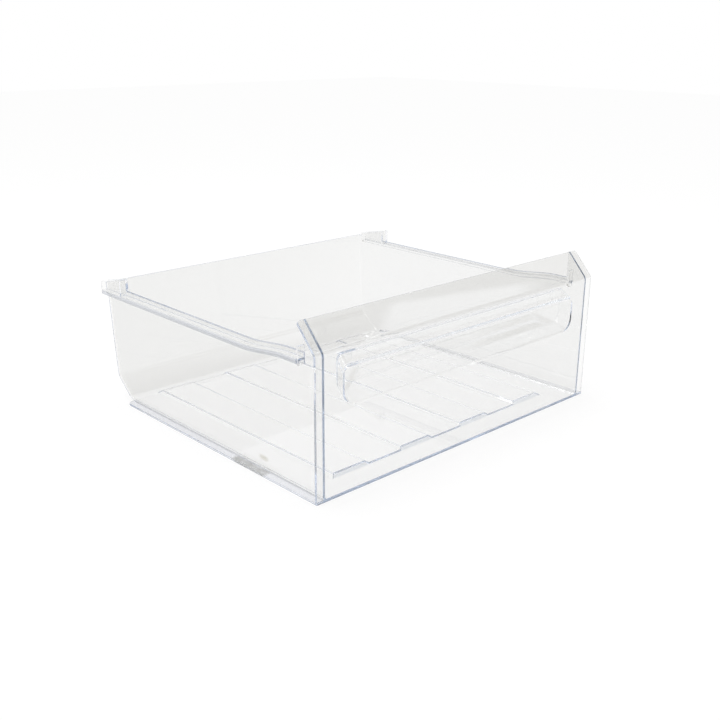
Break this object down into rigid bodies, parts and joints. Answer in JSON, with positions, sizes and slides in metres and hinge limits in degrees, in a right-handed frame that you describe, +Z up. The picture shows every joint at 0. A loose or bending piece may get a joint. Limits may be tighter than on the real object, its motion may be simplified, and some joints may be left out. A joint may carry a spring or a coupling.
{
  "type": "freezer drawer",
  "caption": "Clear moulded freezer drawer: open tub with top slide rails, raised floor strips and a front panel with a leaned-back top strip and a recessed finger pocket.",
  "frame": {"origin": "on the ground under the middle of the drawer's outer box", "axes": "+X to the right seen from the front, +Y towards the rear, +Z up"},
  "size_m": [0.44, 0.4, 0.18],
  "materials": {
    "clear_tub": "clear moulded polystyrene, glossy",
    "clear_front": "clear moulded polystyrene, glossy"
  },
  "bodies": {
    "root": {"drawer_tub": "clear_tub", "front_panel": "clear_front"}
  },
  "joints": []
}
